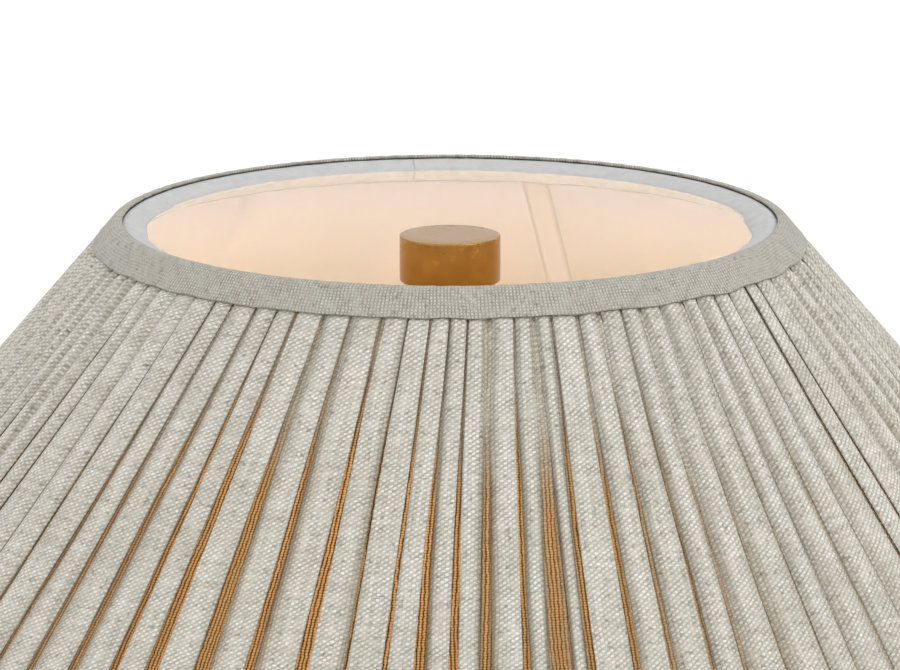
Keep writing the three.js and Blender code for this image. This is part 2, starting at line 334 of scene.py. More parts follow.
def linen(name, tones, glow, threads, bias, uneven, hole, under):
    """Woven flax. The mesh's thin value says how much light comes through from behind, and how
    much painted fold shade the cloth takes.

    tones are the pale thread, the dull thread and the flecks. threads are the spacings across
    and down. A small uneven makes the slubs stand out. hole and under are how much light the
    pinholes and the lower threads keep, from 0 to 1.
    """
    pale, dull, dark = tones
    warp_mm, weft_mm = threads
    made, tree = material(name)
    over, bumps, lines, twist, slubs, flecks = weave(tree, warp_mm, weft_mm, bias)
    warp, weft = (
        node(tree, "MapRange", {"Value": slub, "From Min": 0.5 - uneven, "From Max": 0.5 + uneven})
        for slub in slubs
    )
    either = node(tree, "Math", {0: warp, 1: weft}, operation="ADD")
    half = node(tree, "Math", {0: either, 1: 0.5}, operation="MULTIPLY")
    yarn = node(
        tree, "MixRGB", {"Fac": half, "Color1": srgb(dull), "Color2": srgb(pale)}
    )
    fleck = node(
        tree,
        "MapRange",
        {"Value": flecks, "From Min": 0.56, "From Max": 0.76, "To Max": 0.6},
    )
    flecked = node(
        tree, "MixRGB", {"Fac": fleck, "Color1": yarn, "Color2": srgb(dark)}
    )
    pinhole = node(
        tree,
        "MapRange",
        {"Value": bumps, "From Max": 0.6, "To Min": hole, "To Max": 1.0},
    )
    slanted = node(tree, "Math", {0: twist, 1: -0.6, 2: over}, operation="MULTIPLY_ADD")
    facing = node(
        tree,
        "MapRange",
        {"Value": slanted, "From Min": -1.2, "From Max": 0.35, "To Min": under, "To Max": 1.0},
    )
    crossing = node(tree, "Math", {0: pinhole, 1: facing}, operation="MULTIPLY")
    # The weave is tight in some places and loose in others, so its pattern comes and goes.
    ruler = node(tree, "UVMap", uv_map="cloth")
    tight = node(tree, "TexNoise", {"Vector": ruler, "Scale": 0.22})
    fade = node(
        tree, "MapRange", {"Value": tight, "From Min": 0.35, "From Max": 0.65, "To Min": 0.45}
    )
    lit_thread = node(
        tree, "MixRGB", {"Fac": fade, "Color1": (0.82, 0.82, 0.82, 1), "Color2": crossing}
    )
    woven = node(
        tree,
        "MixRGB",
        {"Fac": 1.0, "Color1": flecked, "Color2": lit_thread},
        blend_type="MULTIPLY",
    )
    thin = node(tree, "Attribute", attribute_name="thin")
    # Painted shade: as the thin value rises, in and beside a soft fold, the cloth is tinted
    # greyer and then warm brown. This stands in for the daylight that can't get down into the fold
    # and the warm light that comes back off the cloth.
    painted_grey_share = node(
        tree, "MapRange", {"Value": thin.outputs["Fac"], "From Min": 0.02, "From Max": 0.2}
    )
    shaded = node(
        tree, "MixRGB", {"Fac": painted_grey_share, "Color1": (1, 1, 1, 1), "Color2": srgb("#dbd7cd")}
    )
    painted_brown_share = node(
        tree, "MapRange", {"Value": thin.outputs["Fac"], "From Min": 0.15, "From Max": 0.6}
    )
    painted_fold_colour = node(
        tree, "MixRGB", {"Fac": painted_brown_share, "Color1": shaded, "Color2": srgb("#b59468")}
    )
    seen = node(
        tree,
        "MixRGB",
        {"Fac": 1.0, "Color1": woven, "Color2": painted_fold_colour},
        blend_type="MULTIPLY",
    )
    height = node(tree, "Math", {0: half, 1: 0.35, 2: bumps}, operation="MULTIPLY_ADD")
    relief = node(tree, "Bump", {"Height": height, "Distance": 0.00016, "Strength": 0.7})
    front = node(
        tree,
        "BsdfPrincipled",
        {
            "Base Color": seen,
            "Roughness": 0.9,
            "IOR": 1.5,
            "Specular IOR Level": 0.2,
            "Sheen Weight": 0.15,
            "Sheen Roughness": 0.5,
            "Normal": relief,
        },
    )
    dots = node(tree, "Math", {0: bumps, 1: 0.8, 2: lines}, operation="MULTIPLY_ADD")
    share = node(tree, "Math", {0: dots, 1: 1 / 1.7}, operation="MULTIPLY")
    # The light comes through most on the threads, so each one is a bright dotted line.
    glowing = node(tree, "Math", {0: share, 1: 1.7}, operation="POWER", use_clamp=True)
    lit = node(
        tree,
        "MixRGB",
        {"Fac": 1.0, "Color1": srgb(glow), "Color2": glowing},
        blend_type="MULTIPLY",
    )
    through = node(tree, "BsdfTranslucent", {"Color": lit})
    finish_with(
        tree,
        node(
            tree,
            "MixShader",
            {"Fac": thin.outputs["Fac"], 1: front, 2: through},
        ),
    )
    return made


pleat_linen = linen(
    "natural_linen",
    tones=("#e9e6dc", "#c4bfb1", "#665b46"),
    glow="#efd3a6",
    threads=(WARP_MM, WEFT_MM),
    bias=0.0,
    uneven=0.17,
    hole=0.52,
    under=0.52,
)
bias_linen = linen(
    "bias_cut_linen",
    tones=("#cdcabf", "#b0aca0", "#6f6655"),
    glow="#c9a877",
    threads=(FINE_MM, FINE_MM),
    bias=math.pi / 4,
    uneven=0.26,
    hole=0.42,
    under=0.5,
)
print("linen, and the same linen on the bias")

# %% [markdown]
# Pleats
#
# The cover is one long strip, folded into box pleats and opened like a fan: shut at the top
# and spread at the hem. Each ribbon folds under at both edges, and the strip runs on below
# it to the next. Between two ribbons only one layer is left, and there the bulb shows gold.
# Hand folding is never even, so the shares, the gaps, the edges and the crowns all vary.
# A seed fixes the random numbers, and they are drawn in the same order every time.
# The pleats also lean a little, as they do when the strip is wound on by hand.

# %% Plan the pleats
PLEATS = 94
CLOTH_PER_PLEAT = 22.5 * MM
COVER_SETBACK = 2.4 * MM
TRIM_REACH = 10.2 * MM
BASE_OUT = 2.95 * MM
LEAN_AT_TOP = math.radians(5.5)

rng = np.random.default_rng(23)
shut_rows = np.array([COVER_SETBACK, 6 * MM, 9.2 * MM])
open_rows = TRIM_REACH + np.array([0.3, 1.7, 3.2, 5.0]) * MM
free_rows = np.linspace(TRIM_REACH + 8 * MM, SLANT - TRIM_REACH - 8 * MM, 27)
down = np.concatenate(
    [shut_rows, open_rows, free_rows, SLANT - open_rows[::-1], SLANT - shut_rows[::-1]]
)
rows = len(down)


def ease(value, start, end):
    """0 before start and 1 after end, with a smooth rise between."""
    share = np.clip((value - start) / (end - start), 0, 1)
    return share * share * (3 - 2 * share)


def wander_down(count, size, shortest, longest):
    """A smooth random drift down the slope for each of count edges, in metres."""
    total = np.zeros((rows, count))
    for _ in range(3):
        length = rng.uniform(shortest, longest, count)
        phase = rng.uniform(0, FULL_TURN, count)
        total += np.sin(FULL_TURN * down[:, None] / length + phase)
    return size * total / 3


base_share = 1 + 0.13 * np.clip(rng.standard_normal(PLEATS), -1.8, 1.8)
top_share = base_share + 0.05 * rng.standard_normal(PLEATS)
hem_share = base_share + 0.08 * rng.standard_normal(PLEATS)
top_turn = FULL_TURN * np.cumsum(top_share) / top_share.sum()
hem_turn = FULL_TURN * np.cumsum(hem_share) / hem_share.sum()
hem_turn += (top_turn - hem_turn).mean()
spread = (down / SLANT)[:, None]
radius_down = on_slope(down, BASE_OUT)[0]
from_apex = radius_down / SLOPE_SIN
swing = LEAN_AT_TOP - np.arcsin(from_apex[0] * math.sin(LEAN_AT_TOP) / from_apex)
gap_turn = top_turn * (1 - spread) + hem_turn * spread - (swing / SLOPE_SIN)[:, None]
gap_turn += wander_down(PLEATS, 0.25 * MM, 70 * MM, 160 * MM) / radius_down[:, None]

# How wide each gap stands half way down, and where it starts to open.
HALF_WAY = 118 * MM
LEAST_GAP = 0.15 * MM
WIDEST_GAP = 0.42  # as a share of one pleat's pitch
half_way_gap = (0.3 + 3.8 * rng.beta(1.2, 1.5, PLEATS)) * MM
# The pleats were spread widest at the front and the back, and stay closer at the sides.
OPEN_TURN = math.radians(-95)
openness = np.clip(np.cos(2 * (top_turn - OPEN_TURN)), 0, 1) ** 1.2
half_way_gap = half_way_gap * (0.25 + 0.75 * openness)
opens_at = rng.uniform(-15, 35, PLEATS) * MM
gap = half_way_gap * np.clip((down[:, None] - opens_at) / (HALF_WAY - opens_at), 0, None)
slack_at_top = (0.3 + 0.9 * rng.random(PLEATS) ** 2) * MM
gap = slack_at_top + gap * (0.55 + 0.45 * ease(down, 0, 40 * MM))[:, None]
pitch = FULL_TURN * radius_down[:, None] / PLEATS
gap = np.minimum(gap, WIDEST_GAP * pitch)
gap += wander_down(PLEATS, 0.09 * MM, 30 * MM, 70 * MM) * ease(down, 9 * MM, 20 * MM)[:, None]
gap = np.maximum(gap, LEAST_GAP)
# A few folds gape a little just below the band, where the stitches caught them unevenly.
GAPE_SHARE = 0.12
GAPE = 1.3 * MM
gapes = np.random.default_rng(4).random(PLEATS) < GAPE_SHARE
mouth = ease(down, 7 * MM, 12 * MM) * ease(-down, -38 * MM, -14 * MM)
gap += gapes * GAPE * mouth[:, None]

# Most ribbons lie low and soft on their left edge and stand crisp and proud on their right.
SOFT_ON_LEFT = 0.8
SOFT_ON_RIGHT = 0.15
left_soft = np.where(rng.random(PLEATS) < SOFT_ON_LEFT, rng.uniform(0.6, 1.0, PLEATS), 0.1)
right_soft = np.where(rng.random(PLEATS) < SOFT_ON_RIGHT, rng.uniform(0.5, 1.0, PLEATS), 0.05)

# At the sides, where the pleats were spread least, the ribbons stay rounder and softer.
rounded = 1 - openness
right_soft = np.maximum(right_soft, 0.5 * rounded)

# One gap stands wide and soft on both sides, a little right of the front.
WIDE_TURN = math.radians(-79)
WIDER_BY = 3.0 * MM
off_wide = np.angle(np.exp(1j * (gap_turn[rows // 2] - WIDE_TURN)))
wide = int(np.argmin(np.abs(off_wide)))
gap[:, wide] += WIDER_BY * ease(down, 20 * MM, 130 * MM)
right_soft[wide] = 0.9
left_soft[(wide + 1) % PLEATS] = 1.0
print(f"{PLEATS} pleats; gaps {gap.min() / MM:.1f} to {gap.max() / MM:.1f} mm")

# %% [markdown]
# Fold the strip
#
# Each pleat is drawn as a path across the cloth, with the same points in every row:
# along the base, round the inner fold, back under the ribbon, round the outer fold, over the
# crowned ribbon, and the same again in mirror. The trims press the folds nearly flat.

# %% Cloth of the pleats
before = np.roll(gap_turn, 1, axis=1)
before[:, 0] -= FULL_TURN
gap_before = np.roll(gap, 1, axis=1)
r = radius_down[:, None]
left_edge = before + gap_before / 2 / r
right_edge = gap_turn - gap / 2 / r
middle = (left_edge + right_edge) / 2
half = (right_edge - left_edge) / 2 * r
full_pitch = (gap_turn - before) * r
tuck = np.clip((CLOTH_PER_PLEAT - full_pitch) / 4, 1.2 * MM, None)
tuck = np.minimum(tuck, 0.92 * half)

free = ease(down, 8.5 * MM, 13 * MM) * ease(SLANT - down, 8.5 * MM, 13 * MM)
free = free[:, None]
edge_height = (1.05 + 0.5 * free) * MM
crown = (0.1 + free * (0.15 + 0.25 * rng.random(PLEATS) + 0.35 * rounded)) * MM
crown = crown + free * wander_down(PLEATS, 0.1 * MM, 22 * MM, 55 * MM)
LOW_EDGE = 1.4 * MM
left_drop = free * left_soft * LOW_EDGE
right_drop = free * right_soft * LOW_EDGE
left_drop = left_drop + free * wander_down(PLEATS, 0.08 * MM, 30 * MM, 80 * MM)
right_drop = right_drop + free * wander_down(PLEATS, 0.08 * MM, 30 * MM, 80 * MM)
proud = rng.uniform(0.3, 1.0, PLEATS) * (1 - right_soft)
lift = free * proud * ease(down, 10 * MM, 90 * MM)[:, None] * MM

# How much light each gap floor lets through: little just below the band, more further down, and
# less at the sides. The same value also sets the linen's painted fold shade on the floor.
glow_start = rng.uniform(18, 45, PLEATS) * MM
glow = 0.22 + 0.78 * ease(down[:, None], glow_start, glow_start + 42 * MM)
glow = glow * rng.uniform(0.84, 1.0, PLEATS) * (0.3 + 0.7 * openness)
FLOOR_THIN = 0.95
FACE_THIN = 0.02


def side(sign):
    """Path points from the gap's middle to just before the ribbon's middle, on one side.

    Each is (across, out, ruler, thin): metres from the ribbon's middle, metres out from the
    base layer, metres along the flat strip, and how much light comes through, which also sets
    how much painted fold shade the linen takes.
    """
    gap_half = (gap_before if sign < 0 else gap) / 2
    drop = left_drop if sign < 0 else right_drop
    shine = np.roll(glow, 1, axis=1) if sign < 0 else glow
    rise = lift if sign > 0 else 0 * lift
    top = edge_height - drop + rise
    under = top / 2
    flat_edge = CLOTH_PER_PLEAT / 2
    still = 0 * half
    fold = 0.16 * MM
    soft = left_soft if sign < 0 else right_soft
    # The floor climbs towards a soft edge and lets less light through there, so it turns from
    # gold to the brown of the linen's painted fold shade as it does.
    climb = soft * free * 0.35 * MM
    dim = 1 - 0.5 * soft
    hidden = (0.55 + 0.4 * soft) * shine
    path = [
        (half + gap_half, still, flat_edge + still, 0.9 * FLOOR_THIN * shine),
        (
            half + gap_half * 0.5,
            0.4 * climb,
            flat_edge - gap_half * 0.5,
            FLOOR_THIN * shine * (0.4 + 0.6 * dim),
        ),
        (half, climb, flat_edge - gap_half, FLOOR_THIN * shine * dim),
        (half - 0.4 * tuck, still, flat_edge - gap_half - 0.4 * tuck, hidden),
        (half - tuck + fold, still + 0.02 * MM, half + tuck + fold, 0.5 * hidden),
        (half - tuck, under / 2, half + tuck, 0.3 * hidden),
        (half - tuck + fold, under, half + tuck - fold, 0.5 * hidden),
        (half - 0.5 * MM, under, half + 0.5 * MM, hidden),
        (half - 0.08 * MM, (under + top) / 2 - 0.06 * MM, half + 0.1 * MM, 0.6 * hidden),
        # Near a soft edge the thin values rise. A little more light comes through there, and the
        # linen's painted fold shade greys and browns the cloth.
        (half - 0.14 * MM, top - 0.1 * MM, half - 0.14 * MM, 0.04 + 0.4 * soft * shine),
        (half - 0.55 * MM, top + 0.02 * MM, half - 0.55 * MM, 0.03 + 0.3 * soft * shine),
    ]
    # Away from a soft edge, the face's thin value fades, and the painted fold shade fades with it.
    for share in (0.66, 0.33):
        bend = ((share - 0.1) / 0.9) ** 2
        out = edge_height + rise * share**2 + crown * (1 - share**2) - drop * bend
        fold_shade_and_glow = 0.6 * soft * share**3 * (0.4 + 0.6 * shine)
        path.append((half * share, out, half * share, FACE_THIN + fold_shade_and_glow))
    return [(sign * across, out, sign * ruler, thin) for across, out, ruler, thin in path]


left_path = side(-1)
right_path = side(1)
top_of_crown = (0 * half, edge_height + crown + 0 * half, 0 * half, FACE_THIN + 0 * half)
path = left_path + [top_of_crown] + right_path[:0:-1]
across, out, ruler, thin = (np.stack(part, axis=-1) for part in zip(*path))
turns = middle[..., None] + across / r[..., None]
number = np.arange(PLEATS)[None, :, None]
ruler = ruler + number * CLOTH_PER_PLEAT

turns = turns.reshape(rows, -1)
out = out.reshape(rows, -1)
ruler = ruler.reshape(rows, -1)
thin = thin.reshape(rows, -1)
turns = np.column_stack([turns, turns[:, 0] + FULL_TURN])
out = np.column_stack([out, out[:, 0]])
ruler = np.column_stack([ruler, ruler[:, 0] + PLEATS * CLOTH_PER_PLEAT])
thin = np.column_stack([thin, thin[:, 0]])


def grid_faces(high, wide):
    """Four-cornered faces of a grid of points, in rows down and columns across."""
    first = np.arange(high - 1)[:, None] * wide + np.arange(wide - 1)[None, :]
    return np.stack([first, first + wide, first + wide + 1, first + 1], axis=-1)


def cloth_grid(name, points, along, downward, thin_share, paint, faces=None):
    """A cloth piece from a grid of points, with its ruler in millimetres and its thinness."""
    high, wide = points.shape[:2]
    if faces is None:
        faces = grid_faces(high, wide).reshape(-1, 4)
    made = mesh_object(name, points.reshape(-1, 3), faces.tolist(), paint)
    ruled = np.stack([along, downward], axis=-1).reshape(-1, 2) / MM
    corners = np.empty(len(made.data.loops), dtype=np.int32)
    made.data.loops.foreach_get("vertex_index", corners)
    cloth_map = made.data.uv_layers.new(name="cloth")
    cloth_map.data.foreach_set("uv", ruled[corners].ravel().astype(np.float32))
    value = made.data.attributes.new("thin", "FLOAT", "POINT")
    value.data.foreach_set("value", np.ravel(thin_share).astype(np.float32))
    return made


down_grid = np.broadcast_to(down[:, None], turns.shape)
cloth = cloth_grid(
    "pleated_linen_cloth",
    place(turns, down_grid, BASE_OUT + out),
    ruler,
    down_grid,
    thin,
    pleat_linen,
)
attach(cloth, "shade")
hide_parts("pleated_cover")
print(f"pleated cloth: {len(cloth.data.polygons)} faces")

# %% [markdown]
# Bands round the edges
#
# Each band is drawn as a thin closed section, carried round the shade. Over the pleats the
# band dips a little into every gap, and its folded lower edge is never quite straight.

# %% Edge bands
def band_section(path, thick):
    """Closed section of a strip whose outer face follows path, given as (down, out) arrays."""
    down_path = np.stack([p[0] for p in path], axis=-1)
    out_path = np.stack([p[1] for p in path], axis=-1)
    step_down = np.gradient(down_path, axis=-1)
    step_out = np.gradient(out_path, axis=-1)
    length = np.hypot(step_down, step_out)
    back_down = down_path - step_out / length * thick
    back_out = out_path + step_down / length * thick
    run = np.cumsum(np.hypot(np.diff(down_path), np.diff(out_path)), axis=-1)
    run = np.concatenate([0 * run[..., :1], run], axis=-1)
    down_all = np.concatenate([down_path, back_down[..., ::-1]], axis=-1)
    out_all = np.concatenate([out_path, back_out[..., ::-1]], axis=-1)
    run_all = np.concatenate([run, run[..., ::-1]], axis=-1)
    return down_all, out_all, run_all


def band(name, turn, path, thick, radius, thin_share, paint):
    """A strip carried round the shade, one section for every turn, closed at its two ends."""
    down_all, out_all, run_all = band_section(path, thick)
    points = place(turn[:, None], down_all, out_all)
    around, loop = points.shape[:2]
    first = np.arange(around - 1)[:, None] * loop
    ring = np.arange(loop)[None, :]
    nearby = (ring + 1) % loop
    faces = np.stack(
        [first + ring, first + nearby, first + loop + nearby, first + loop + ring], axis=-1
    )
    last = (around - 1) * loop
    half_loop = loop // 2 - 1
    caps = []
    for start in (0, last):
        for i in range(half_loop):
            j = loop - 1 - i
            caps.append([start + i, start + i + 1, start + j - 1, start + j])
    faces = np.concatenate([faces.reshape(-1, 4), caps])
    made = cloth_grid(
        name,
        points,
        np.broadcast_to(turn[:, None] * radius, run_all.shape),
        run_all,
        thin_share + 0 * run_all,
        paint,
        faces,
    )
    solid = bmesh.new()
    solid.from_mesh(made.data)
    bmesh.ops.recalc_face_normals(solid, faces=solid.faces)
    solid.to_mesh(made.data)
    solid.free()
    return made


def ripples(turn, size, fewest, most):
    """A smooth drift round the shade that meets itself, in metres."""
    total = 0 * turn
    for count in rng.integers(fewest, most, 6):
        total = total + np.sin(count * turn + rng.uniform(0, FULL_TURN))
    return size * total / 3


def dips(turn, row):
    """1 over a gap between pleats and 0 over a ribbon, at one row of the pleats."""
    at = np.sort(gap_turn[row] % FULL_TURN)
    at = np.concatenate([[at[-1] - FULL_TURN], at, [at[0] + FULL_TURN]])
    place_between = np.interp(turn % FULL_TURN, at, np.arange(len(at)))
    return np.cos(FULL_TURN * place_between) ** 3 / 2 + 0.5


BAND_CLOTH = 0.7 * MM
TRIM_OUT = 5.4 * MM
DIP = 0.18 * MM
ROLL_DOWN = 1.6 * MM
CREST_UP = 2.6 * MM
JOINT_TURN = math.radians(97)
JOINT_GAP = 0.03 * MM


def all_round(count, radius):
    """Turns from one side of a strip's joint at the back, all the way round to the other."""
    return JOINT_TURN + np.linspace(JOINT_GAP / radius, FULL_TURN, count)


def free_edge(edge, way, press, bulge):
    """Path of a band's free edge, which turns under and dips into every gap that it crosses."""
    dip = DIP * press
    return [
        (edge + way * 0.12 * MM, TRIM_OUT - 0.55 * MM - dip),
        (edge, TRIM_OUT - 0.25 * MM - dip + bulge),
        (edge + way * 0.25 * MM, TRIM_OUT + 0.02 * MM - dip + bulge),
        (edge + way * 0.9 * MM, TRIM_OUT + 0.02 * MM - 0.16 * MM * press + bulge),
        (edge + way * 2.4 * MM, TRIM_OUT - 0.04 * MM - 0.1 * MM * press + bulge),
    ]


TRIM_ROW = 2
top_turns = all_round(720, TOP_RADIUS)
press = dips(top_turns, TRIM_ROW)
edge = TRIM_REACH + ripples(top_turns, 0.28 * MM, 7, 60)
bulge = ripples(top_turns, 0.16 * MM, 8, 50)
# Adding full gives a plain number one value for every turn.
full = 0 * top_turns
top_path = free_edge(edge, -1, press, bulge) + [
    (full + 5.4 * MM, TRIM_OUT - 0.02 * MM - 0.06 * MM * press + 0.7 * bulge),
    (full + 3.2 * MM, TRIM_OUT + 0.4 * bulge),
]
TRIM_END = math.radians(54)
rough = ripples(top_turns, 0.12 * MM, 60, 190)
for step in range(12):
    bend = step / 11 * TRIM_END
    top_path.append(
        (
            full + ROLL_DOWN - (ROLL_DOWN + CREST_UP) * math.sin(bend),
            full + TRIM_OUT * math.cos(bend) + (0.25 * bulge + rough) * math.sin(bend),
        )
    )
top_trim = band(
    "top_trim_linen", top_turns, top_path, BAND_CLOTH, TOP_RADIUS, FACE_THIN, bias_linen
)
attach(top_trim, "shade")
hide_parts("top_trim")
print(f"top band: {len(top_trim.data.polygons)} faces")

hem_turns = all_round(1200, BOTTOM_RADIUS)
press = dips(hem_turns, rows - 1 - TRIM_ROW)
edge = SLANT - TRIM_REACH + ripples(hem_turns, 0.28 * MM, 9, 110)
bulge = ripples(hem_turns, 0.14 * MM, 8, 90)
full = 0 * hem_turns
shoulder_radius = on_slope(SLANT - ROLL_DOWN, TRIM_OUT)[0]


def to_slope(radius, height):
    """Turns a radius and height back to (down, out)."""
    away = radius - TOP_RADIUS
    below = TOP_Z - height
    return away * SLOPE_SIN + below * SLOPE_COS, away * SLOPE_COS - below * SLOPE_SIN


hem_path = free_edge(edge, 1, press, bulge) + [
    (full + SLANT - 5.4 * MM, TRIM_OUT - 0.02 * MM + 0.7 * bulge),
    (full + SLANT - 3.2 * MM, TRIM_OUT + 0.4 * bulge),
    (full + SLANT - ROLL_DOWN, TRIM_OUT + full),
]
# The hem turns a soft corner on to the floor, and then hugs the wire from below.
HEM_CORNER = 1.6 * MM
corner_radius = shoulder_radius + 0.05 * MM
for bend in np.radians([10, 35, 60, 90]):
    point = to_slope(
        corner_radius - HEM_CORNER * (1 - math.cos(bend)), HEM_CORNER * (1 - math.sin(bend))
    )
    hem_path.append((full + point[0], full + point[1]))
for bend in np.radians([0, 18, 36, 54, 70]):
    point = to_slope(
        BOTTOM_RADIUS - BOTTOM_Z * math.sin(bend), BOTTOM_Z - BOTTOM_Z * math.cos(bend)
    )
    hem_path.append((full + point[0], full + point[1]))
bottom_trim = band(
    "bottom_trim_linen",
    hem_turns,
    hem_path[::-1],
    BAND_CLOTH,
    BOTTOM_RADIUS,
    FACE_THIN,
    bias_linen,
)
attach(bottom_trim, "shade")
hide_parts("bottom_trim")
print(f"bottom band: {len(bottom_trim.data.polygons)} faces")

# %% [markdown]
# Tapes inside
#
# The turned-in ends of the pleats make a thick soft roll on the inner side of the top wire,
# and white cotton tape covers it. A thinner strip covers the bottom wire. Both are put on by
# hand, so their edges wander, and the roll has a lump where an arm of the spider comes
# through it.

# %% Cotton tape
TAPE_TONE_LINE = TOP_Z - 0.8 * MM


def cotton(name, tone, see_through):
    """Plain white tape: a fine close weave, dull, with a little light through it."""
    made, tree = material(name)
    ruler = node(tree, "UVMap", uv_map="cloth")
    rib = node(
        tree, "TexWave", {"Vector": ruler, "Scale": 0.35, "Distortion": 0.6}, wave_profile="SIN"
    )
    cloud = node(tree, "TexNoise", {"Vector": ruler, "Scale": 0.25, "Detail": 3.0})
    shade_of = node(
        tree, "MapRange", {"Value": cloud, "From Min": 0.3, "From Max": 0.7, "To Min": 0.88}
    )
    # Below a line just under the wire's centre, the tape is a darker, warmer grey.
    spot = node(tree, "TexCoord")
    heights = node(tree, "SeparateXYZ", {0: spot.outputs["Object"]})
    above = node(
        tree,
        "MapRange",
        {"Value": heights.outputs["Z"], "From Min": TAPE_TONE_LINE, "From Max": TAPE_TONE_LINE + 0.8 * MM},
    )
    two_tone = node(
        tree, "MixRGB", {"Fac": above, "Color1": srgb("#bcb3ac"), "Color2": srgb(tone)}
    )
    colour = node(
        tree,
        "MixRGB",
        {"Fac": 1.0, "Color1": two_tone, "Color2": shade_of},
        blend_type="MULTIPLY",
    )
    relief = node(tree, "Bump", {"Height": rib, "Distance": 0.00005, "Strength": 0.6})
    front = node(
        tree, "BsdfPrincipled", {"Base Color": colour, "Roughness": 0.85, "Normal": relief}
    )
    through = node(tree, "BsdfTranslucent", {"Color": colour})
    finish_with(tree, node(tree, "MixShader", {"Fac": see_through, 1: front, 2: through}))
    return made


TAPE_LETS_THROUGH = 0.05
white_tape = cotton("white_cotton_tape", "#c3c3c3", TAPE_LETS_THROUGH)
TAPE_THICK = 0.3 * MM
ARM_TURN = math.radians(3)
tape_turns = all_round(720, TOP_RADIUS)
slack = ripples(tape_turns, 0.3 * MM, 8, 60)
puff = ripples(tape_turns, 0.14 * MM, 14, 80)
from_arm = (tape_turns - ARM_TURN + math.pi) % FULL_TURN - math.pi
lump = np.exp(-((from_arm / math.radians(7)) ** 2))
pinch = lump * (0.8 + 0.7 * np.sin(from_arm * 60)) * MM
ROLL_REACH = 6.3 * MM
inward = -ROLL_REACH + slack - 1.9 * MM * lump
full = 0 * tape_turns
# The tape's upper face, from under the linen band to the liner, as (across, up) from the
# centre of the top wire.
tape_path = [
    (full + 2.0 * MM, full + 1.8 * MM),
    (full + 0.9 * MM, 2.5 * MM + 0.3 * puff),
    (full - 0.6 * MM, 2.35 * MM + puff + pinch),
    (full - 2.4 * MM, 1.75 * MM + puff + 1.2 * pinch),
    (0.4 * slack - 4.2 * MM, 1.1 * MM + puff + pinch),
    (inward + 0.7 * MM, 0.4 * MM + 0.6 * puff + 0.6 * pinch),
    (inward + 0.1 * MM, 0.3 * puff),
    (inward, -0.3 * MM + 0.2 * puff),
    (inward + 0.4 * MM, full - 0.6 * MM),
    (inward + 2.2 * MM, full - 1.4 * MM),
    (full - 2.4 * MM, full - 3.5 * MM),
    (full + 1.0 * MM, full - 4.4 * MM),
    (full + 3.3 * MM, 0.5 * slack - 5.6 * MM),
]
tape_path = [to_slope(TOP_RADIUS + across, TOP_Z + up) for across, up in tape_path]
top_tape = band("top_tape", tape_turns, tape_path, TAPE_THICK, TOP_RADIUS, 0, white_tape)

low_turns = all_round(960, BOTTOM_RADIUS)
LOW_REACH = 7.6 * MM
reach_up = LOW_REACH + ripples(low_turns, 0.6 * MM, 5, 60)
puff = ripples(low_turns, 0.15 * MM, 12, 90)
full = 0 * low_turns
tape_path = [
    (SLANT - reach_up, 1.3 * MM - 0.4 * puff),
    (SLANT - reach_up + 0.6 * MM, 1.1 * MM - 0.6 * puff),
    (full + SLANT - 3.4 * MM, 0.8 * MM - puff),
]
LOW_WRAP = 2.0 * MM
for turned in np.radians([140, 125, 110, 96, 84]):
    point = to_slope(
        BOTTOM_RADIUS - LOW_WRAP * math.sin(turned), BOTTOM_Z - LOW_WRAP * math.cos(turned)
    )
    tape_path.append((full + point[0], full + point[1]))
low_tape = band("bottom_tape", low_turns, tape_path, TAPE_THICK, BOTTOM_RADIUS, 0, white_tape)
for tape, node_name, wide, ring, radius in (
    (top_tape, "inner_top_tape", 21 * MM, "top_ring", TOP_RADIUS),
    (low_tape, "inner_bottom_tape", 10 * MM, "bottom_ring", BOTTOM_RADIUS),
):
    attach(tape, "shade")
    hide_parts(node_name)
print(f"tapes: {len(top_tape.data.polygons) + len(low_tape.data.polygons)} faces")

# %% [markdown]
# Liner
#
# The liner is a thin translucent sheet rolled into the cone. It meets at one place near the
# back, under a strip of thin pale tape that shows faintly when the bulb is lit. The liner is
# drawn as a thin closed section with both of its faces, and the tape lies on the inner one.

# %% Translucent liner
LINER_IN = 1.8 * MM
LINER_THICK = 0.6 * MM
LINER_LETS_THROUGH = 0.72
SEAM_LETS_THROUGH = 0.84
liner_paint, tree = material("cream_styrene_liner")
ruler = node(tree, "UVMap", uv_map="cloth")
fibre = node(tree, "TexNoise", {"Vector": ruler, "Scale": 0.35, "Detail": 5.0})
patch = node(tree, "TexNoise", {"Vector": ruler, "Scale": 0.02, "Detail": 2.0})
mottle = node(tree, "Math", {0: fibre, 1: 0.5, 2: patch}, operation="MULTIPLY_ADD")
tint = node(
    tree, "MapRange", {"Value": mottle, "From Min": 0.5, "From Max": 1.0, "To Min": 0.9}
)
# Painted light: the liner is tinted whiter and a little cool near the top, where daylight
# reaches it, and creamier further down, where the bulb's warm light falls most.
down_it = node(tree, "SeparateXYZ", {0: ruler})
painted_light_share = node(
    tree, "MapRange", {"Value": down_it.outputs["Y"], "From Min": 5.0, "From Max": 75.0}
)
inner_tone = node(
    tree, "MixRGB", {"Fac": painted_light_share, "Color1": srgb("#fbfafe"), "Color2": srgb("#fbf4e6")}
)
through_tone = node(
    tree, "MixRGB", {"Fac": painted_light_share, "Color1": srgb("#fdf5f2"), "Color2": srgb("#feeedb")}
)
cream = node(
    tree,
    "MixRGB",
    {"Fac": 1.0, "Color1": inner_tone, "Color2": tint},
    blend_type="MULTIPLY",
)
skin = node(tree, "Bump", {"Height": fibre, "Distance": 0.00004, "Strength": 0.5})
front = node(
    tree, "BsdfPrincipled", {"Base Color": cream, "Roughness": 0.6, "Normal": skin}
)
through = node(tree, "BsdfTranslucent", {"Color": through_tone})
finish_with(tree, node(tree, "MixShader", {"Fac": LINER_LETS_THROUGH, 1: front, 2: through}))

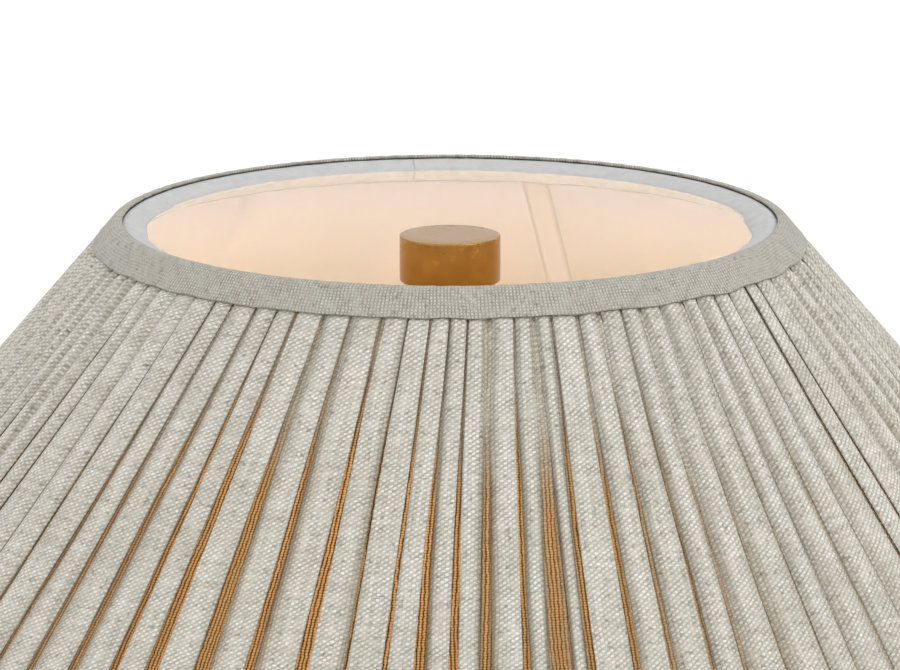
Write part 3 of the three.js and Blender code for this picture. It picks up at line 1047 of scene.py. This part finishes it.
seam_paint, tree = material("thin_seam_tape")
spot = node(tree, "TexCoord")
rib = node(tree, "TexNoise", {"Vector": spot.outputs["Object"], "Scale": 1500.0})
tone = node(
    tree, "MixRGB", {"Fac": rib, "Color1": srgb("#fcf7f2"), "Color2": srgb("#fdf9f5")}
)
front = node(tree, "BsdfPrincipled", {"Base Color": tone, "Roughness": 0.7})
through = node(tree, "BsdfTranslucent", {"Color": tone})
finish_with(tree, node(tree, "MixShader", {"Fac": SEAM_LETS_THROUGH, 1: front, 2: through}))

SEAM_TURN = math.radians(75)
liner_turns = all_round(360, TOP_RADIUS) - JOINT_TURN + SEAM_TURN
sway = ripples(liner_turns, 0.2 * MM, 3, 14)
liner_path = []
for share in np.linspace(0, 1, 25):
    level = SLANT * share
    calm = math.sin(math.pi * share)
    liner_path.append((level + 0 * sway, LINER_IN - sway * calm))
liner = band(
    "liner_sheet", liner_turns, liner_path, LINER_THICK, TOP_RADIUS, 0, liner_paint
)
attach(liner, "shade")
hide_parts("liner")

SEAM_HALF = 4.5 * MM
SEAM_THICK = 0.06 * MM
SEAM_STARTS = 6 * MM
SEAM_STOPS = SLANT - 10 * MM
seam_down = np.linspace(SEAM_STARTS, SEAM_STOPS, 60)
seam_across = np.array([-1, -1, -0.5, 0, 0.5, 1, 1, 0.5, 0, -0.5])
seam_inner = np.array([0, 1, 1, 1, 1, 1, 0, 0, 0, 0])
seam_radius = on_slope(seam_down, LINER_IN)[0][:, None]
seam_turns = SEAM_TURN + seam_across * SEAM_HALF / seam_radius
calm = np.sin(math.pi * seam_down / SLANT)[:, None]
seam_out = LINER_IN - sway[0] * calm - 0.02 * MM - seam_inner * SEAM_THICK
seam_points = place(seam_turns, seam_down[:, None], seam_out)
high, loop = seam_points.shape[:2]
first = np.arange(high - 1)[:, None] * loop
ring = np.arange(loop)[None, :]
nearby = (ring + 1) % loop
seam_faces = np.stack(
    [first + ring, first + nearby, first + loop + nearby, first + loop + ring], axis=-1
).reshape(-1, 4)
first_end = list(range(loop))
last_end = [(high - 1) * loop + i for i in range(loop)]
seam_faces = seam_faces.tolist() + [first_end, last_end]
seam = cloth_grid(
    "seam_tape_strip",
    seam_points,
    np.broadcast_to(seam_across * SEAM_HALF, seam_turns.shape),
    np.broadcast_to(seam_down[:, None], seam_turns.shape),
    0 * seam_turns,
    seam_paint,
    np.array(seam_faces, dtype=object),
)
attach(seam, "shade")
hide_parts("liner_seam_tape")
print(f"liner: {len(liner.data.polygons)} faces")

# %% [markdown]
# Lacquered steel and brass
#
# The wires, arms and hub are lacquered a satin white. The lacquer has pooled a little, as
# dipped wire does. The finial is brass with a brown antique finish. A lathe leaves fine
# rings on it.

# %% Finishes of the measured pieces
steel, tree = material("white_lacquered_steel")
spot = node(tree, "TexCoord")
pool = node(tree, "TexNoise", {"Vector": spot.outputs["Object"], "Scale": 220.0, "Detail": 2.0})
tone = node(
    tree, "MixRGB", {"Fac": pool, "Color1": srgb("#dedbd2"), "Color2": srgb("#efede6")}
)
skin = node(tree, "Bump", {"Height": pool, "Distance": 0.0001, "Strength": 0.3})
finish_with(
    tree,
    node(tree, "BsdfPrincipled", {"Base Color": tone, "Roughness": 0.35, "Normal": skin}),
)


def dress(name, paint):
    """Gives a measured piece its finish."""
    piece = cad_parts[name]
    piece.data.materials.clear()
    piece.data.materials.append(paint)
    return piece


BROKEN_EDGE = 0.25 * MM


def break_edges(piece):
    """Takes the sharp edges off a turned or stamped piece."""
    soft_edge = piece.modifiers.new("broken_edge", "BEVEL")
    soft_edge.width = BROKEN_EDGE
    soft_edge.segments = 2
    soft_edge.limit_method = "ANGLE"


for name in ("top_ring", "bottom_ring", "spider_arm_left", "spider_arm_right"):
    wire = dress(name, steel)
    rounder = wire.modifiers.new("round_wire", "SUBSURF")
    rounder.levels = 2
    rounder.render_levels = 2
break_edges(dress("spider_hub", steel))

brass, tree = material("antique_brass")
spot = node(tree, "TexCoord")
axes = node(tree, "SeparateXYZ", {0: spot.outputs["Object"]})
flat_spot = node(tree, "CombineXYZ", {"X": axes.outputs["X"], "Y": axes.outputs["Y"]})
from_axis = node(tree, "VectorMath", {0: flat_spot}, operation="LENGTH")
rings_at = node(
    tree, "CombineXYZ", {"X": from_axis.outputs["Value"], "Y": axes.outputs["Z"], "Z": 0.0}
)
rings = node(tree, "TexNoise", {"Vector": rings_at, "Scale": 3200.0, "Detail": 2.0})
cloud = node(
    tree, "TexNoise", {"Vector": spot.outputs["Object"], "Scale": 160.0, "Detail": 4.0}
)
patina = node(tree, "MapRange", {"Value": cloud, "From Min": 0.35, "From Max": 0.7})
metal = node(
    tree, "MixRGB", {"Fac": patina, "Color1": srgb("#9f7336"), "Color2": srgb("#ad8240")}
)
dull = node(
    tree,
    "MapRange",
    {"Value": cloud, "From Min": 0.3, "From Max": 0.7, "To Min": 0.2, "To Max": 0.3},
)
marks = node(tree, "Bump", {"Height": rings, "Distance": 0.00003, "Strength": 0.35})
finish_with(
    tree,
    node(
        tree,
        "BsdfPrincipled",
        {"Base Color": metal, "Metallic": 1.0, "Roughness": dull, "Normal": marks},
    ),
)
for name in ("finial_insert", "finial_washer"):
    break_edges(dress(name, brass))
print("finishes for the rings, arms, hub, insert and washer")

# %% [markdown]
# Finial
#
# The finial is a plain turned drum with its edges broken, bored from below for its threaded
# insert. It is drawn with many more sides than the measured one, since its side is seen
# against the light.

# %% Turned cap
FINIAL_SIDES = 192
BORE_GAP = 0.3 * MM
EDGE = 0.45 * MM
cap_low, cap_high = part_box("finial_cap")
insert_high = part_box("finial_insert")[1]
cap_radius = cap_high[0]
bore_radius = insert_high[0] + BORE_GAP
bore_top = insert_high[2] + BORE_GAP
profile = [(0, bore_top), (bore_radius, bore_top), (bore_radius, cap_low[2])]
for corner_z, way in ((cap_low[2], 1), (cap_high[2], -1)):
    bends = np.linspace(0, math.pi / 2, 5)
    bends = bends if way > 0 else bends[::-1]
    for bend in bends:
        profile.append(
            (
                cap_radius - EDGE + EDGE * math.sin(bend),
                corner_z + way * (EDGE - EDGE * math.cos(bend)),
            )
        )
    if way > 0:
        profile.append((cap_radius, (cap_low[2] + cap_high[2]) / 2))
profile += [(cap_radius * 0.6, cap_high[2]), (0, cap_high[2])]
cap_points = [(0, 0, bore_top)]
for radius, height in profile[1:-1]:
    for turn in np.linspace(0, FULL_TURN, FINIAL_SIDES, endpoint=False):
        cap_points.append((radius * math.cos(turn), radius * math.sin(turn), height))
cap_points.append((0, 0, cap_high[2]))
cap_faces = []
circles = len(profile) - 2
end = len(cap_points) - 1
for i in range(FINIAL_SIDES):
    j = (i + 1) % FINIAL_SIDES
    cap_faces.append((0, 1 + i, 1 + j))
    for circle in range(circles - 1):
        low = 1 + circle * FINIAL_SIDES
        high = low + FINIAL_SIDES
        cap_faces.append((low + i, high + i, high + j, low + j))
    top = 1 + (circles - 1) * FINIAL_SIDES
    cap_faces.append((top + i, end, top + j))
cap = mesh_object("finial_drum", cap_points, cap_faces, brass)
cap.data.set_sharp_from_angle(angle=math.radians(50))
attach(cap, "finial")
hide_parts("finial_cap")
print(f"finial: {len(cap_faces)} faces")
